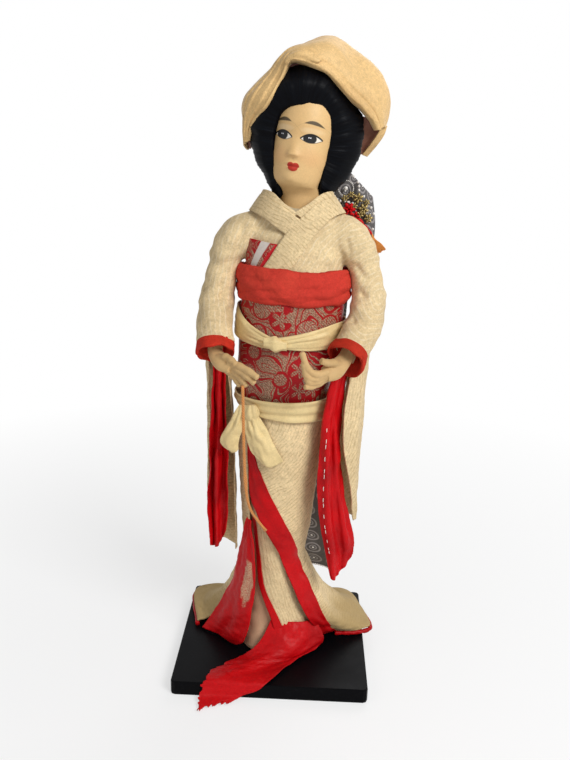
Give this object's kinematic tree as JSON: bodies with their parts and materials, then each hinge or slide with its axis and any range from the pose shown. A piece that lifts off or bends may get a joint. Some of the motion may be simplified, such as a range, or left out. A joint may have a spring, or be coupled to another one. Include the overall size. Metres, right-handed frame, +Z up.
{
  "type": "geisha doll",
  "caption": "Standing display doll in a hooded bridal kimono with long hanging sleeves, wide obi and trailing red-lined skirts, fixed to a flat black board.",
  "frame": {"origin": "centre of the board's underside", "axes": "+Z up along the standing doll, +X towards the doll's own left hand, +Y towards its back"},
  "size_m": [0.1372, 0.1312, 0.413],
  "materials": {
    "base_board": "black gloss lacquer",
    "leg_right": "wrapped cotton",
    "leg_left": "wrapped cotton",
    "body_core": "stuffed cotton",
    "kimono_bodice": "cream crepe",
    "obi": "red brocade with pale swirls",
    "obiage": "crushed orange red silk",
    "obijime_band": "cream silk",
    "obijime_knot": "cream silk",
    "waist_sash": "cream silk",
    "sash_knot": "cream silk",
    "sash_end_left": "cream silk",
    "sash_end_right": "cream silk",
    "under_collar": "cream crepe",
    "outer_collar": "cream crepe",
    "pouch": "red brocade with a silver stripe",
    "inner_skirt": "blush lining silk",
    "underskirt": "cream crepe",
    "underskirt_border": "red silk",
    "outer_skirt": "cream crepe",
    "hem_roll": "padded red silk",
    "front_border": "red silk",
    "lining_panel": "red silk",
    "red_train": "red crepe",
    "arm_core_right": "wrapped cotton",
    "arm_core_left": "wrapped cotton",
    "sleeve_right": "cream crepe",
    "sleeve_left": "cream crepe",
    "cuff_right": "red crepe",
    "cuff_left": "red crepe",
    "hand_right": "painted skin",
    "hand_left": "painted skin",
    "sleeve_bag_right": "cream crepe",
    "sleeve_bag_left": "cream crepe",
    "sleeve_lining_right": "red silk",
    "sleeve_lining_left": "red silk",
    "head": "silk faced mask, painted",
    "hair": "black floss hair",
    "hood": "cream silk",
    "hood_lining": "russet silk",
    "bow_knot": "grey brocade",
    "bow_loop_upper": "grey brocade with rings",
    "bow_loop_lower": "grey brocade with rings",
    "bow_tail": "grey brocade with rings",
    "hand_cord": "orange silk braid"
  },
  "bodies": {
    "root": {"base_board": "base_board", "leg_right": "leg_right", "leg_left": "leg_left", "body_core": "body_core", "kimono_bodice": "kimono_bodice", "obi": "obi", "obiage": "obiage", "obijime_band": "obijime_band", "obijime_knot": "obijime_knot", "waist_sash": "waist_sash", "sash_knot": "sash_knot", "sash_end_left": "sash_end_left", "sash_end_right": "sash_end_right", "under_collar": "under_collar", "outer_collar": "outer_collar", "pouch": "pouch", "inner_skirt": "inner_skirt", "underskirt": "underskirt", "underskirt_border": "underskirt_border", "outer_skirt": "outer_skirt", "hem_roll": "hem_roll", "front_border": "front_border", "lining_panel": "lining_panel", "red_train": "red_train", "arm_core_right": "arm_core_right", "arm_core_left": "arm_core_left", "sleeve_right": "sleeve_right", "sleeve_left": "sleeve_left", "cuff_right": "cuff_right", "cuff_left": "cuff_left", "hand_right": "hand_right", "hand_left": "hand_left", "sleeve_bag_right": "sleeve_bag_right", "sleeve_bag_left": "sleeve_bag_left", "sleeve_lining_right": "sleeve_lining_right", "sleeve_lining_left": "sleeve_lining_left", "head": "head", "hair": "hair", "hood": "hood", "hood_lining": "hood_lining", "bow_knot": "bow_knot", "bow_loop_upper": "bow_loop_upper", "bow_loop_lower": "bow_loop_lower", "bow_tail": "bow_tail", "hand_cord": "hand_cord"}
  },
  "joints": []
}
